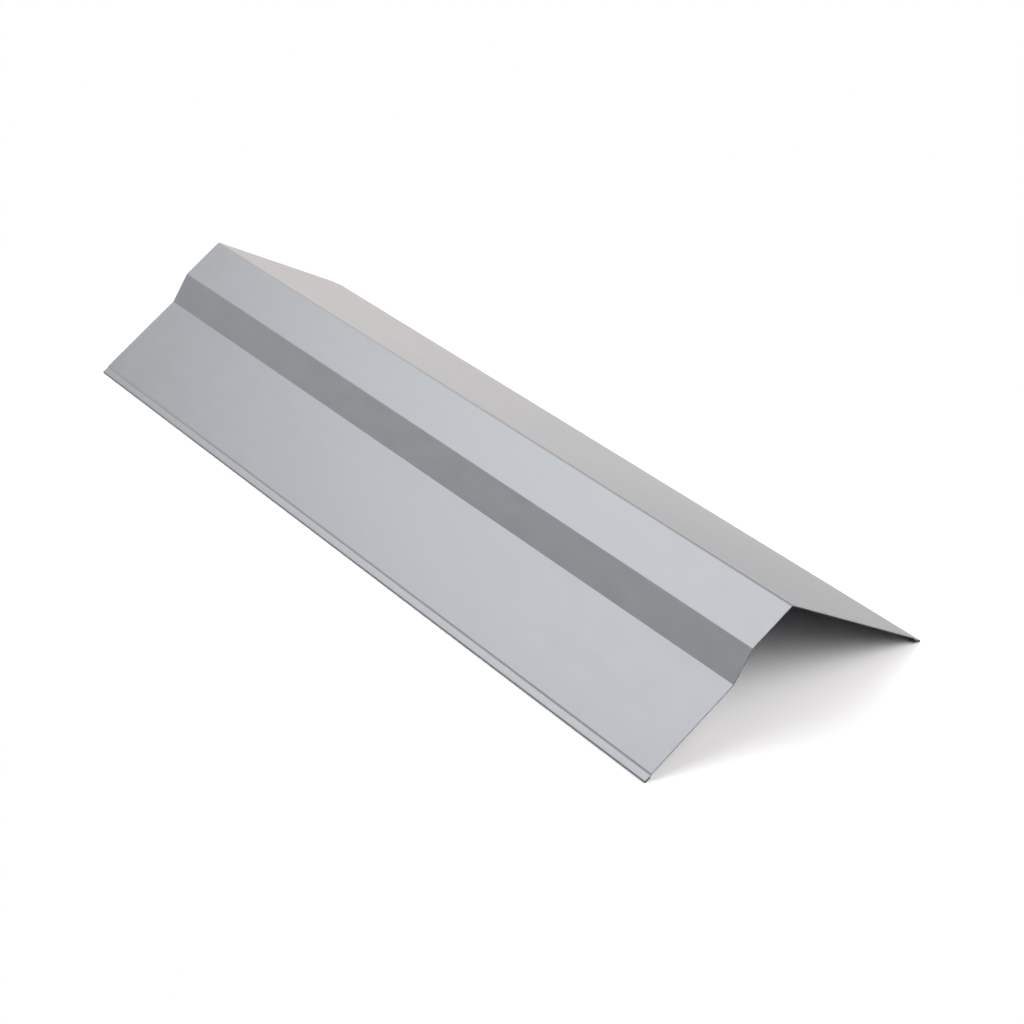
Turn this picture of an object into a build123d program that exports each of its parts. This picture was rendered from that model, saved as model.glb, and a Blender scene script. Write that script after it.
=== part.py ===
from build123d import *
import os
from math import atan2, degrees

# Roof hip cap: one strip of coil-coated aluminium sheet, folded lengthwise on a press brake.
# From the ridge one side steps down to a lower flange, and the other side runs down plain.
# Each long edge is joggled down into a narrow lip, with a hem folded back under the lip.
#
# X runs along the hip, Y from the stepped side to the plain side, and Z is up. The origin is
# under the middle of the piece, on the level surface that its two hems stand on.

# Sizes are in mm and degrees. A flat is the straight width between two bends.
length = 1200.0
sheet = 1.0

ridge_angle = 117.0  # between the two sides of the hip
upper_flat = 60.0  # stepped side, from the ridge down to the step
step_flat = 42.0
step_turn = 23.0  # the step is this much steeper than the flats above and below it
lower_flat = 124.6
plain_flat = 207.6  # plain side, from the ridge down to its joggle

joggle_flat = 2.0  # short steep fold that sets the lip below its flange
joggle_turn = 23.0  # the joggle is this much steeper than its flange
lip_flat = 7.6
lip_kick = 3.0  # the lip lies this much flatter than its flange
hem_flat = 6.5  # width folded back under the lip

bend_radius = 1.2  # inside radii
ridge_radius = 2.0
hem_radius = 0.3

# The folds in order, from the stepped side's hem over the ridge to the plain side's hem. Each is
# the flat before the bend, the turn of the bend (negative is clockwise) and its inside radius.
hem_turn = -180.0
stepped_edge = [
    (hem_flat, hem_turn, hem_radius),
    (lip_flat, joggle_turn + lip_kick, bend_radius),
    (joggle_flat, -joggle_turn, bend_radius),
]
stepped_side = [
    (lower_flat, step_turn, bend_radius),
    (step_flat, -step_turn, bend_radius),
    (upper_flat, ridge_angle - 180.0, ridge_radius),
]
plain_side = [
    (plain_flat, -joggle_turn, bend_radius),
    (joggle_flat, joggle_turn + lip_kick, bend_radius),
    (lip_flat, hem_turn, hem_radius),
]
folds = stepped_edge + stepped_side + plain_side


def skin(start, is_outer):
    """One skin of the strip: its flats joined by tangent arcs, ending with the second hem.

    The outer skin is on the left of the way the strip runs, so it takes the wide way round a
    clockwise bend, and the inner skin takes the wide way round the other bends.
    """
    edges = []
    point = start
    heading = 180.0
    for flat, turn, inside_radius in folds:
        is_wide = is_outer == (turn < 0)
        run = PolarLine(point, flat, heading)
        bend = JernArc(run @ 1, run % 1, inside_radius + (sheet if is_wide else 0.0), turn)
        edges += [run, bend]
        point = bend @ 1
        heading += turn
    return edges + [PolarLine(point, hem_flat, heading)]


# Section of the strip, closed by a square cut at both long edges
outer = skin((0, -sheet), True)
inner = skin((0, 0), False)
cut_edges = [Line(inner[0] @ 0, outer[0] @ 0), Line(inner[-1] @ 1, outer[-1] @ 1)]
section = make_face(outer + inner + cut_edges)

# Turned until the noses of the two hems are level, then set on the ground and centred
first_nose = outer[1].center_point
last_nose = outer[-2].center_point
tilt = degrees(atan2(last_nose.Y - first_nose.Y, last_nose.X - first_nose.X))
section = Rot(Z=-tilt) * section
box = section.bounding_box()
section = Pos(-box.center().X, -box.min.Y) * section

hip_cap = extrude(Plane.YZ * section, length / 2, both=True)

os.makedirs("parts", exist_ok=True)
export_step(hip_cap, "parts/hip_cap.step")
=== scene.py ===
import bpy
import numpy as np
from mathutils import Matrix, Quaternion, Vector


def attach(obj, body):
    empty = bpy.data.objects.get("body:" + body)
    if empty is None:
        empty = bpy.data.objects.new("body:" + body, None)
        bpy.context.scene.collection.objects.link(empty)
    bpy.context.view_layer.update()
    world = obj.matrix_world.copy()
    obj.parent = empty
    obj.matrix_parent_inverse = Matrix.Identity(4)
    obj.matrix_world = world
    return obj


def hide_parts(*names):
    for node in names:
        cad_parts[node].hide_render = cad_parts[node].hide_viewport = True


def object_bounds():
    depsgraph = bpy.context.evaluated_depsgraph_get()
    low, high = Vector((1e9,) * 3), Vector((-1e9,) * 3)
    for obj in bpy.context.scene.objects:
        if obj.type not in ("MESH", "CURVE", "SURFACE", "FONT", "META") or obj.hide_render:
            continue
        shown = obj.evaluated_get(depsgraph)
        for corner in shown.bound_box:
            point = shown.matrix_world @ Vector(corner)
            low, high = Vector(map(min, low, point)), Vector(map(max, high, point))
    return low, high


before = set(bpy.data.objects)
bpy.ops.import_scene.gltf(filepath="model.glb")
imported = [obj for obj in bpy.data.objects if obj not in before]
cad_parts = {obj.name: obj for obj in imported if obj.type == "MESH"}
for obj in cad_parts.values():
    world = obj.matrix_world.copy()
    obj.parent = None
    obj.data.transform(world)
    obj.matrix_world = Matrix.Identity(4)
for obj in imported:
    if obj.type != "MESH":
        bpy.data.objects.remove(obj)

cad_low, cad_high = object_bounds()

# The hip cap is one strip of 1 mm aluminium sheet, painted on the coil, sheared to length and
# folded lengthwise on a press brake. Each long edge is joggled down into a lip, and the sheet is
# hemmed back under that lip. The strip's section is the same from end to end.

MM = 0.001
sheet = 1.0 * MM
ridge_angle = 117.0
upper_flat = 60.0 * MM
step_flat = 42.0 * MM
step_turn = 23.0
lower_flat = 124.6 * MM
plain_flat = 207.6 * MM
joggle_flat = 2.0 * MM
joggle_turn = 23.0
lip_flat = 7.6 * MM
lip_kick = 3.0
hem_flat = 6.5 * MM
hem_turn = -180.0
bend_radius = 1.2 * MM
ridge_radius = 2.0 * MM
hem_radius = 0.3 * MM

# Each fold is the flat before it, its turn in degrees (negative is clockwise) and its inside radius.
# They run from the stepped side's hem over the ridge to the plain side's hem.
folds = [
    (hem_flat, hem_turn, hem_radius),
    (lip_flat, joggle_turn + lip_kick, bend_radius),
    (joggle_flat, -joggle_turn, bend_radius),
    (lower_flat, step_turn, bend_radius),
    (step_flat, -step_turn, bend_radius),
    (upper_flat, ridge_angle - 180.0, ridge_radius),
    (plain_flat, -joggle_turn, bend_radius),
    (joggle_flat, joggle_turn + lip_kick, bend_radius),
    (lip_flat, hem_turn, hem_radius),
    (hem_flat, 0.0, 0.0),
]
chord_width = 6.0 * MM
fewest_chords = 4
arc_turn = 5.0


def walk_section(folds):
    """Middle line of the folded strip: for each of its points the place in the section, the left normal,
    the girth so far, the place on its flat and the width of that flat.

    A flat is cut at (1 - cos t) / 2 of its width, with t in even steps from 0 to pi, so that the
    cuts crowd towards the folds. A bend is cut into even arcs, and each chord of an arc is
    2 R sin(turn / 2) long and leaves at half of its turn. Running sums of the turns give the
    headings, and running sums of the chords give the points and the girth. The place goes from 0 to
    1 across a flat, and both it and the width are 0 in a bend.
    """
    chords, turns, places, widths = [], [], [[0.0]], [[0.0]]
    for flat, turn, inside_radius in folds:
        cuts = max(fewest_chords, int(flat / chord_width))
        place = (1 - np.cos(np.linspace(0, np.pi, cuts + 1))) / 2
        arcs = int(np.ceil(abs(turn) / arc_turn))
        each_turn = np.full(arcs, np.radians(turn) / max(arcs, 1))
        arc_chords = 2 * (inside_radius + sheet / 2) * np.sin(abs(each_turn) / 2)
        chords += [np.diff(place) * flat, arc_chords]
        turns += [np.zeros(cuts), each_turn]
        places += [place[1:], np.zeros(arcs)]
        widths += [np.full(cuts, flat), np.zeros(arcs)]
    chord, turn = np.concatenate(chords), np.concatenate(turns)
    first_heading = np.pi
    heading = np.append(first_heading, first_heading + np.cumsum(turn))
    chord_heading = heading[1:] - turn / 2
    steps = chord[:, None] * np.stack([np.cos(chord_heading), np.sin(chord_heading)], axis=1)
    points = np.vstack([np.zeros((1, 2)), np.cumsum(steps, axis=0)])
    normals = np.stack([-np.sin(heading), np.cos(heading)], axis=1)
    girth = np.append(0.0, np.cumsum(chord))
    return points, normals, girth, np.concatenate(places), np.concatenate(widths)


def set_on_hems(points, normals, centre, low):
    """Section turned until the centres of its two hem bends are level, then moved so that the box
    of its outer skin has `centre` as its middle and `low` as its lowest line."""
    centres = points - normals * (hem_radius + sheet / 2)
    run = centres[-1 - fewest_chords] - centres[fewest_chords]
    cosine, sine = run / np.linalg.norm(run)
    level = np.array([[cosine, -sine], [sine, cosine]])
    points, normals = points @ level, normals @ level
    skin = points + normals * sheet / 2
    shift = [centre - (skin[:, 0].min() + skin[:, 0].max()) / 2, low - skin[:, 1].min()]
    return points + shift, normals


points, normals, girth, place, width = walk_section(folds)
points, normals = set_on_hems(points, normals, (cad_low.y + cad_high.y) / 2, cad_low.z)

# Rolled sheet is never dead flat: its wide flats swell and dip by a few tenths of a millimetre
# between the folds. The folds and the sheared ends hold them straight.
station_spacing = 9.0 * MM
burr = 0.12 * MM
swell_per_width = 0.0014
swell_lengths = np.array([0.53, 0.31, 0.19])
swell_shares = np.array([0.5, 0.33, 0.17])
swell_phases = np.array([0.4, 2.1, 4.4])
swell_slant = 2.6
shift_per_width = 40.0
end_hold = 0.12


def swell(along, place, width):
    """Height of the flats off their true plane, for each station and section point.

    It is three cosine waves along the strip, each slanted a little across it and shifted by the width
    of the flat, so that flats do not swell in step. They are multiplied by the square of sin(pi place)
    across the flat and by a smooth rise from 0 within `end_hold` of each end.
    """
    phase = 2 * np.pi * along[:, None, None] / swell_lengths + swell_phases
    phase = phase + swell_slant * place[None, :, None] + shift_per_width * width[None, :, None]
    wave = (np.cos(phase) * swell_shares).sum(axis=2)
    inside = np.clip((np.abs(along[[0, -1]]).max() - np.abs(along)) / end_hold, 0, 1)
    hold = inside * inside * (3 - 2 * inside)
    return swell_per_width * width * np.sin(np.pi * place) ** 2 * wave * hold[:, None]


def carry_section(along):
    """Skins of the strip carried along X: a grid of stations by points round the section.

    A ring is the outer skin from hem to hem and then the inner skin back again, each half of the
    sheet from the middle line plus the swell. The two end rings are thinner by the burr.
    """
    half = np.full((len(along), 1), sheet / 2)
    half[[0, -1]] -= burr
    lift = swell(along, place, width)
    outer = points + normals * (lift + half)[:, :, None]
    inner = points + normals * (lift - half)[:, :, None]
    ring = np.concatenate([outer, inner[:, ::-1]], axis=1)
    ring_along = np.broadcast_to(along[:, None, None], ring.shape[:2] + (1,))
    return np.concatenate([ring_along, ring], axis=2)


stations = int((cad_high.x - cad_low.x) / station_spacing)
along = np.linspace(cad_low.x + burr, cad_high.x - burr, stations)
along = np.concatenate([[cad_low.x], along, [cad_high.x]])
grid = carry_section(along)
rings, ring_points = grid.shape[:2]
across = len(points)

# Faces of the skins, each between two rings, and of the two sheared ends, each between the skins
number = np.arange(rings * ring_points).reshape(rings, ring_points)
following = np.roll(number, -1, axis=1)
skin_faces = np.stack([number[:-1], number[1:], following[1:], following[:-1]], axis=2)
back_again = number[:, ::-1]
end_faces = np.stack([number[:, : across - 1], number[:, 1:across], back_again[:, 1:across],
                      back_again[:, : across - 1]], axis=2)
faces = np.concatenate([skin_faces.reshape(-1, 4), end_faces[0], end_faces[-1, :, ::-1]])

paint_slot, wash_slot, cut_slot = 0, 1, 2
skin_slots = np.full(skin_faces.shape[:2], paint_slot)
skin_slots[:, across:] = wash_slot
skin_slots[:, [across - 1, -1]] = cut_slot
skin_slots[[0, -1]] = cut_slot
slots = np.append(skin_slots.ravel(), np.full(2 * (across - 1), cut_slot))

sharp_angle = 30.0
cap_mesh = bpy.data.meshes.new("folded_hip_cap")
cap_mesh.from_pydata(grid.reshape(-1, 3).tolist(), [], faces.tolist())
cap_mesh.polygons.foreach_set("material_index", slots.astype(np.int32))
cap_mesh.shade_smooth()
cap_mesh.set_sharp_from_angle(angle=np.radians(sharp_angle))

# Place on the sheet before it was folded: along the strip, across it, and which side of the sheet
unfolded = np.zeros_like(grid)
unfolded[:, :, 0] = grid[:, :, 0]
unfolded[:, :, 1] = np.concatenate([girth, girth[::-1]])
unfolded[:, across:, 2] = 1.0
unfolded_place = cap_mesh.attributes.new("unfolded_place", "FLOAT_VECTOR", "POINT")
unfolded_place.data.foreach_set("vector", unfolded.astype(np.float32).ravel())

hip_cap = bpy.data.objects.new("folded_hip_cap", cap_mesh)
bpy.context.scene.collection.objects.link(hip_cap)


def linear(hex_colour):
    """Linear RGBA of an sRGB hex colour such as #A0B0C0."""
    srgb = np.array([int(hex_colour[i : i + 2], 16) for i in (1, 3, 5)]) / 255
    rgb = np.where(srgb <= 0.04045, srgb / 12.92, ((srgb + 0.055) / 1.055) ** 2.4)
    return (*rgb.tolist(), 1.0)


def add_node(tree, kind, inputs=None, **settings):
    """Adds one node. Settings are the node's own properties, and inputs gives each socket, by name
    or number, either a value or the output of another node to link to it."""
    node = tree.nodes.new(kind)
    for name, value in settings.items():
        setattr(node, name, value)
    for name, value in (inputs or {}).items():
        if isinstance(value, bpy.types.NodeSocket):
            tree.links.new(value, node.inputs[name])
        else:
            node.inputs[name].default_value = value
    return node


def silver_coil_coat():
    """Silver-grey polyester paint, rolled on to the coil and baked. Fine aluminium flake in it makes it
    half a metal to the eye, the baking leaves a satin skin with a faint orange peel, and the rollers
    leave faint lines along the strip. The flake lies unevenly, which mottles the tone. Its colour also
    holds painted light: painted shade on the tight noses of the hems and along the ridge fold, more so
    towards the near (+X) end, a lighter band along the joggles where the paint is stretched and a
    painted highlight is added, lighter and warmer streaks on the plain side that paint in its warm
    reflection, and warm painted shade on the plain side towards that end."""
    mottle_length, mottle_width = 45 * MM, 22 * MM
    line_length, line_width = 500 * MM, 5 * MM
    line_share = 0.35
    low_tone, high_tone = 0.3, 0.7
    low_roughness, high_roughness = 0.46, 0.52
    peel_size, peel_height = 2.5 * MM, 0.006 * MM
    nose_end = hem_flat + np.pi * (hem_radius + sheet / 2)
    nose_fade = 0.6 * MM
    # Strength of the painted shade on the hem noses
    nose_shade = 0.65
    joggle_start = nose_end + lip_flat
    joggle_bends = np.radians(2 * joggle_turn + lip_kick) * (bend_radius + sheet / 2)
    joggle_end = joggle_start + joggle_flat + joggle_bends
    joggle_fade = 0.5 * MM
    # Lightening of the joggles: paint stretched over the bends, and a painted highlight
    joggle_rub_and_highlight = 0.35
    ridge_place = girth[np.argmax(points[:, 1])]
    ridge_half = 1.7 * MM
    ridge_fade = 0.8 * MM
    # Painted shade along the ridge fold, from the far end to the near end
    far_ridge_shade, near_ridge_shade = 0.08, 0.42
    streak_length, streak_width = 450 * MM, 16 * MM
    # Share of lighter, warmer streaks, which also paint in the plain side's warm reflection
    streak_strength = 0.25
    faint_streak, full_streak = 0.35, 0.65
    plain_side_fade = 12 * MM
    # Painted shade on the plain side, from this far along to the near end
    near_shade_start = 130 * MM
    near_end_shade = 0.5

    material = bpy.data.materials.new("silver_coil_coat")
    material.use_nodes = True
    tree = material.node_tree
    tree.nodes.clear()
    sheet_place = add_node(tree, "ShaderNodeAttribute", attribute_name="unfolded_place").outputs["Vector"]

    # Mottling and roller lines
    stretch = add_node(
        tree,
        "ShaderNodeMapping",
        {"Vector": sheet_place, "Scale": (1 / mottle_length, 1 / mottle_width, 1)},
    )
    mottle = add_node(
        tree, "ShaderNodeTexNoise", {"Vector": stretch.outputs[0], "Scale": 1.0, "Detail": 3.0}
    )
    stretch = add_node(
        tree,
        "ShaderNodeMapping",
        {"Vector": sheet_place, "Scale": (1 / line_length, 1 / line_width, 1)},
    )
    lines = add_node(
        tree, "ShaderNodeTexNoise", {"Vector": stretch.outputs[0], "Scale": 1.0, "Detail": 1.0}
    )
    tone = add_node(
        tree, "ShaderNodeMix", {0: line_share, 2: mottle.outputs[0], 3: lines.outputs[0]}, data_type="FLOAT"
    )
    colour = add_node(
        tree,
        "ShaderNodeMix",
        {0: tone.outputs[0], 6: linear("#989B9F"), 7: linear("#A4A7AB")},
        data_type="RGBA",
    )
    gloss = add_node(
        tree,
        "ShaderNodeMapRange",
        {0: tone.outputs[0], 1: low_tone, 2: high_tone, 3: low_roughness, 4: high_roughness},
    )

    # Painted shade on the hem noses and a lighter band on the joggles, stretched paint with a painted
    # highlight, by the distance from the nearer long edge of the unfolded strip, and painted shade on the
    # ridge, by the distance from its fold
    across_strip = add_node(tree, "ShaderNodeSeparateXYZ", {0: sheet_place})
    from_edge = add_node(
        tree, "ShaderNodeMath", {0: across_strip.outputs["Y"], 1: girth[-1] / 2}, operation="PINGPONG"
    )
    # Painted shade on the hem noses, where the lip's edge meets the floor
    on_nose = add_node(
        tree,
        "ShaderNodeMapRange",
        {0: from_edge.outputs[0], 1: nose_end - nose_fade, 2: nose_end + nose_fade, 3: nose_shade, 4: 0.0},
        interpolation_type="SMOOTHSTEP",
    )
    # A lighter band along the joggles: paint stretched over the bends, and a painted highlight that the
    # joggle catches
    past_lip = add_node(
        tree,
        "ShaderNodeMapRange",
        {
            0: from_edge.outputs[0],
            1: joggle_start - joggle_fade,
            2: joggle_start + joggle_fade,
            4: joggle_rub_and_highlight,
        },
        interpolation_type="SMOOTHSTEP",
    )
    rubbed_and_highlit = add_node(
        tree,
        "ShaderNodeMapRange",
        {
            0: from_edge.outputs[0],
            1: joggle_end - joggle_fade,
            2: joggle_end + joggle_fade,
            3: past_lip.outputs[0],
            4: 0.0,
        },
        interpolation_type="SMOOTHSTEP",
    )
    joggle_lightened = add_node(
        tree,
        "ShaderNodeMix",
        {0: rubbed_and_highlit.outputs[0], 6: colour.outputs[2], 7: linear("#C8CBCE")},
        data_type="RGBA",
    )
    past_ridge = add_node(
        tree, "ShaderNodeMath", {0: across_strip.outputs["Y"], 1: ridge_place}, operation="SUBTRACT"
    )
    from_ridge = add_node(tree, "ShaderNodeMath", {0: past_ridge.outputs[0]}, operation="ABSOLUTE")
    # Painted shade along the ridge fold, darker towards the near (+X) end
    ridge_shade = add_node(
        tree,
        "ShaderNodeMapRange",
        {0: across_strip.outputs["X"], 1: cad_low.x, 2: cad_high.x, 3: far_ridge_shade, 4: near_ridge_shade},
    )
    on_ridge = add_node(
        tree,
        "ShaderNodeMapRange",
        {
            0: from_ridge.outputs[0],
            1: ridge_half - ridge_fade,
            2: ridge_half + ridge_fade,
            3: ridge_shade.outputs[0],
            4: 0.0,
        },
        interpolation_type="SMOOTHSTEP",
    )

    # Lighter, warmer streaks on the plain side: tone that varies in streaks, and painted warm reflection of
    # the plain side
    stretch = add_node(
        tree,
        "ShaderNodeMapping",
        {"Vector": sheet_place, "Scale": (1 / streak_length, 1 / streak_width, 1)},
    )
    streaks = add_node(
        tree, "ShaderNodeTexNoise", {"Vector": stretch.outputs[0], "Scale": 1.0, "Detail": 4.0}
    )
    plain_side = add_node(
        tree,
        "ShaderNodeMapRange",
        {0: past_ridge.outputs[0], 1: 0.0, 2: plain_side_fade, 4: streak_strength},
        interpolation_type="SMOOTHSTEP",
    )
    streaked = add_node(
        tree,
        "ShaderNodeMapRange",
        {0: streaks.outputs[0], 1: faint_streak, 2: full_streak, 4: plain_side.outputs[0]},
    )
    # Streaks of lighter, warmer tone on the plain side, which paint in its warm reflection
    streaked_and_warmed = add_node(
        tree,
        "ShaderNodeMix",
        {0: streaked.outputs[0], 6: joggle_lightened.outputs[2], 7: linear("#B0AEAF")},
        data_type="RGBA",
    )

    # Painted shade on the plain side, warm and darker towards the near end, laid along the streaks
    end_shade = add_node(
        tree,
        "ShaderNodeMapRange",
        {0: across_strip.outputs["X"], 1: near_shade_start, 2: cad_high.x, 4: near_end_shade},
    )
    plain_side_shade = add_node(
        tree,
        "ShaderNodeMapRange",
        {0: past_ridge.outputs[0], 1: 0.0, 2: plain_side_fade, 4: end_shade.outputs[0]},
        interpolation_type="SMOOTHSTEP",
    )
    plain_shade = add_node(
        tree,
        "ShaderNodeMath",
        {0: plain_side_shade.outputs[0], 1: streaks.outputs[0]},
        operation="MULTIPLY",
    )
    # Warm painted shade on the plain side towards the near end
    plain_shaded = add_node(
        tree,
        "ShaderNodeMix",
        {0: plain_shade.outputs[0], 6: streaked_and_warmed.outputs[2], 7: linear("#56504D")},
        data_type="RGBA",
    )
    # Painted shade: the hem noses and the ridge fold take one dark grey
    painted_shade = add_node(
        tree, "ShaderNodeMath", {0: on_nose.outputs[0], 1: on_ridge.outputs[0]}, operation="MAXIMUM"
    )
    shaded = add_node(
        tree,
        "ShaderNodeMix",
        {0: painted_shade.outputs[0], 6: plain_shaded.outputs[2], 7: linear("#55585A")},
        data_type="RGBA",
    )

    # Orange peel
    peel = add_node(
        tree, "ShaderNodeTexNoise", {"Vector": sheet_place, "Scale": 1 / peel_size, "Detail": 1.0}
    )
    bump = add_node(
        tree, "ShaderNodeBump", {"Height": peel.outputs[0], "Strength": 1.0, "Distance": peel_height}
    )

    paint = add_node(
        tree,
        "ShaderNodeBsdfPrincipled",
        {
            "Base Color": shaded.outputs[2],
            "Roughness": gloss.outputs[0],
            "Metallic": 0.5,
            "Normal": bump.outputs[0],
        },
    )
    add_node(tree, "ShaderNodeOutputMaterial", {"Surface": paint.outputs[0]})
    return material


def grey_wash_coat():
    """Thin grey wash coat on the back of the sheet: matt, and a little cloudy where it ran thin. Its grey
    is kept dark as painted shade for the inside of the cap.
    """
    cloud_length, cloud_width = 150 * MM, 30 * MM

    material = bpy.data.materials.new("grey_wash_coat")
    material.use_nodes = True
    tree = material.node_tree
    tree.nodes.clear()
    sheet_place = add_node(tree, "ShaderNodeAttribute", attribute_name="unfolded_place").outputs["Vector"]
    stretch = add_node(
        tree,
        "ShaderNodeMapping",
        {"Vector": sheet_place, "Scale": (1 / cloud_length, 1 / cloud_width, 1)},
    )
    clouds = add_node(
        tree, "ShaderNodeTexNoise", {"Vector": stretch.outputs[0], "Scale": 1.0, "Detail": 3.0}
    )
    # A dark grey, kept dark as painted shade for the inside of the cap
    colour = add_node(
        tree,
        "ShaderNodeMix",
        {0: clouds.outputs[0], 6: linear("#616467"), 7: linear("#6F7275")},
        data_type="RGBA",
    )
    wash = add_node(tree, "ShaderNodeBsdfPrincipled", {"Base Color": colour.outputs[2], "Roughness": 0.6})
    add_node(tree, "ShaderNodeOutputMaterial", {"Surface": wash.outputs[0]})
    return material


def sheared_aluminium():
    """Bare aluminium where the shear cut the sheet: half burnished, half torn, and dulled by the air. Its
    grey is darker than such an edge is, as painted shade along the cut edges. The torn marks are drawn
    coarser than they are, so that they show."""
    torn_size = 2 * MM

    material = bpy.data.materials.new("sheared_aluminium")
    material.use_nodes = True
    tree = material.node_tree
    tree.nodes.clear()
    sheet_place = add_node(tree, "ShaderNodeAttribute", attribute_name="unfolded_place").outputs["Vector"]
    torn = add_node(
        tree, "ShaderNodeTexNoise", {"Vector": sheet_place, "Scale": 1 / torn_size, "Detail": 2.0}
    )
    # Darker grey than bare cut aluminium: painted shade along the cut edges
    colour = add_node(
        tree,
        "ShaderNodeMix",
        {0: torn.outputs[0], 6: linear("#54575A"), 7: linear("#66696C")},
        data_type="RGBA",
    )
    metal = add_node(
        tree,
        "ShaderNodeBsdfPrincipled",
        {"Base Color": colour.outputs[2], "Metallic": 1.0, "Roughness": 0.45},
    )
    add_node(tree, "ShaderNodeOutputMaterial", {"Surface": metal.outputs[0]})
    return material


for finish in (silver_coil_coat(), grey_wash_coat(), sheared_aluminium()):
    cap_mesh.materials.append(finish)
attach(hip_cap, "root")
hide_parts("hip_cap")

# The floor is a plain white sweep that curves up into a low wall far away, so that it fills the view
# from every side. Near the part it is matt white paint that takes its shadow. Further out, the camera
# and the gloss of the paint see plain white.
sweep_radius = 26.0
sweep_curve = 4.0
wall_height = 7.0
shadow_reach, white_reach = 0.12, 0.5
sides = 96
curve_points = 9
flat_reach = np.array([2.0, 6.0, 14.0])
curve_turn = np.linspace(0, np.pi / 2, curve_points)
curve_reach = sweep_radius + sweep_curve * np.sin(curve_turn)
curve_rise = sweep_curve * (1 - np.cos(curve_turn))
profile_reach = np.concatenate([flat_reach, curve_reach, [sweep_radius + sweep_curve]])
profile_rise = np.concatenate([np.zeros_like(flat_reach), curve_rise, [wall_height]])
way = np.linspace(0, 2 * np.pi, sides, endpoint=False)
floor_points = np.stack(
    [
        np.outer(profile_reach, np.cos(way)),
        np.outer(profile_reach, np.sin(way)),
        np.repeat(profile_rise[:, None], sides, axis=1),
    ],
    axis=2,
)
floor_number = np.arange(floor_points.shape[0] * sides).reshape(-1, sides)
next_side = np.roll(floor_number, -1, axis=1)
floor_faces = np.stack([floor_number[:-1], floor_number[1:], next_side[1:], next_side[:-1]], axis=2)
floor_mesh = bpy.data.meshes.new("floor")
middle_face = floor_number[0].tolist()
floor_mesh.from_pydata(
    floor_points.reshape(-1, 3).tolist(), [], [*floor_faces.reshape(-1, 4).tolist(), middle_face]
)
floor = bpy.data.objects.new("floor", floor_mesh)
bpy.context.scene.collection.objects.link(floor)
matt_white = bpy.data.materials.new("matt_white_paint")
matt_white.use_nodes = True
tree = matt_white.node_tree
tree.nodes.clear()
rays = add_node(tree, "ShaderNodeLightPath")
seen = add_node(
    tree,
    "ShaderNodeMath",
    {0: rays.outputs["Is Camera Ray"], 1: rays.outputs["Is Glossy Ray"]},
    operation="MAXIMUM",
)
seen = add_node(
    tree,
    "ShaderNodeMath",
    {0: seen.outputs[0], 1: rays.outputs["Is Transmission Ray"]},
    operation="MAXIMUM",
)
shade = add_node(
    tree,
    "ShaderNodeMix",
    {0: seen.outputs[0], 6: linear("#E1E1E1"), 7: linear("#FFFFFF")},
    data_type="RGBA",
)
matt = add_node(tree, "ShaderNodeBsdfDiffuse", {"Color": shade.outputs[2]})
plain_white = add_node(tree, "ShaderNodeEmission", {"Color": linear("#FFFFFF"), "Strength": 1.0})
coordinates = add_node(tree, "ShaderNodeTexCoord")
place_from_middle = add_node(
    tree, "ShaderNodeVectorMath", {0: coordinates.outputs["Object"]}, operation="ABSOLUTE"
)
past_part = add_node(
    tree,
    "ShaderNodeVectorMath",
    {0: place_from_middle.outputs[0], 1: (cad_high.x, cad_high.y, 0)},
    operation="SUBTRACT",
)
past_part = add_node(
    tree, "ShaderNodeVectorMath", {0: past_part.outputs[0], 1: (0, 0, 0)}, operation="MAXIMUM"
)
reach = add_node(tree, "ShaderNodeVectorMath", {0: past_part.outputs[0]}, operation="LENGTH")
far = add_node(
    tree,
    "ShaderNodeMapRange",
    {0: reach.outputs["Value"], 1: shadow_reach, 2: white_reach},
    interpolation_type="SMOOTHSTEP",
)
far_seen = add_node(tree, "ShaderNodeMath", {0: far.outputs[0], 1: seen.outputs[0]}, operation="MULTIPLY")
sweep = add_node(
    tree, "ShaderNodeMixShader", {0: far_seen.outputs[0], 1: matt.outputs[0], 2: plain_white.outputs[0]}
)
add_node(tree, "ShaderNodeOutputMaterial", {"Surface": sweep.outputs[0]})
matt_white.cycles.emission_sampling = "NONE"
floor_mesh.materials.append(matt_white)

# Plain studio light: five large square softboxes that face the part from above its ends and its plain
# side, in a room that is dark beyond them. The ones on the plain side are a little warm.
world = bpy.data.worlds.new("studio")
world.use_nodes = True
tree = world.node_tree
tree.nodes.clear()
room = add_node(tree, "ShaderNodeBackground", {"Strength": 0.0})
add_node(tree, "ShaderNodeOutputWorld", {"Surface": room.outputs[0]})
bpy.context.scene.world = world

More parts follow.
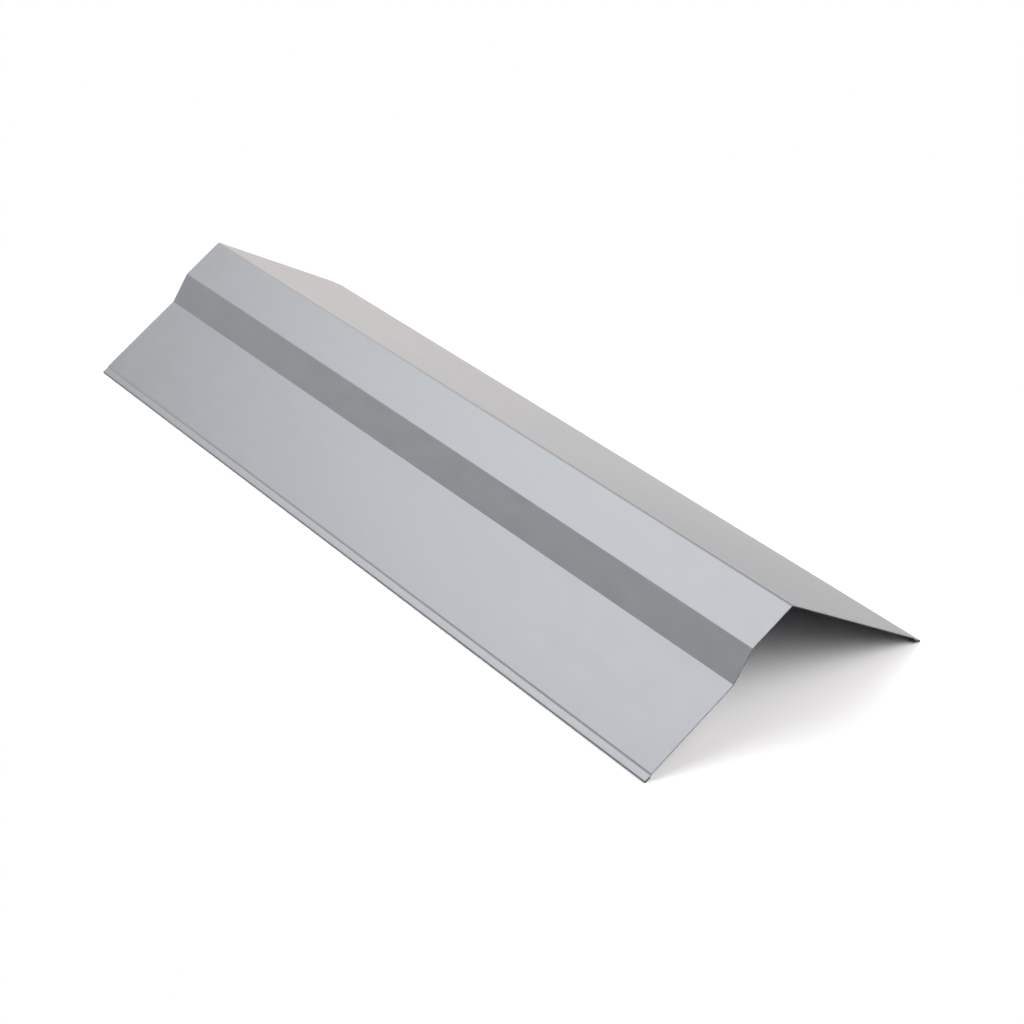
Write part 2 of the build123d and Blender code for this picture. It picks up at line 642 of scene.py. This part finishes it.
softbox_aim = Vector((0, 0, 0.06))
plain_white_light = (1.0, 1.0, 1.0)
pale_warm_light = (1.0, 0.96, 0.965)
warm_light = (1.0, 0.79, 0.67)

# Each softbox: its place, its width, its power in watts and its tint
softboxes = {
    "overhead_softbox": ((-0.6, -0.6, 2.2), 2.4, 43.0, plain_white_light),
    "far_end_softbox": ((-1.4, -0.2, 1.8), 1.8, 15.2, plain_white_light),
    "near_end_softbox": ((2.6, 1.0, 1.4), 2.0, 43.0, plain_white_light),
    "plain_side_softbox": ((2.0, 1.6, 1.8), 2.6, 65.0, pale_warm_light),
    "low_plain_side_softbox": ((-1.6, 1.1, 0.9), 1.4, 10.0, warm_light),
}
for name, (lamp_place, softbox_width, power, tint) in softboxes.items():
    softbox = bpy.data.lights.new(name, "AREA")
    softbox.size = softbox_width
    softbox.energy = power
    softbox.color = tint
    lamp = bpy.data.objects.new(name, softbox)
    lamp.location = lamp_place
    lamp.rotation_mode = "QUATERNION"
    lamp.rotation_quaternion = (Vector(lamp_place) - softbox_aim).to_track_quat("Z", "Y")
    lamp.visible_camera = False
    bpy.context.scene.collection.objects.link(lamp)

# Camera: in front of the stepped side's near end, looking down along the ridge, with a slight roll
camera_place = (2.2558, -1.3927, 1.5883)
camera_azimuth, camera_elevation, camera_roll = np.radians([57.155, 31.464, 4.979])
camera_lens = 88.31
view_end = 100.0
camera_data = bpy.data.cameras.new("camera")
camera_data.lens = camera_lens
camera_data.clip_end = view_end
camera = bpy.data.objects.new("camera", camera_data)
camera_back = Vector(
    (
        np.sin(camera_azimuth) * np.cos(camera_elevation),
        -np.cos(camera_azimuth) * np.cos(camera_elevation),
        np.sin(camera_elevation),
    )
)
camera.location = camera_place
camera.rotation_mode = "QUATERNION"
camera.rotation_quaternion = camera_back.to_track_quat("Z", "Y") @ Quaternion((0, 0, 1), -camera_roll)
bpy.context.scene.collection.objects.link(camera)
bpy.context.scene.camera = camera

bpy.context.scene.view_settings.view_transform = "Standard"
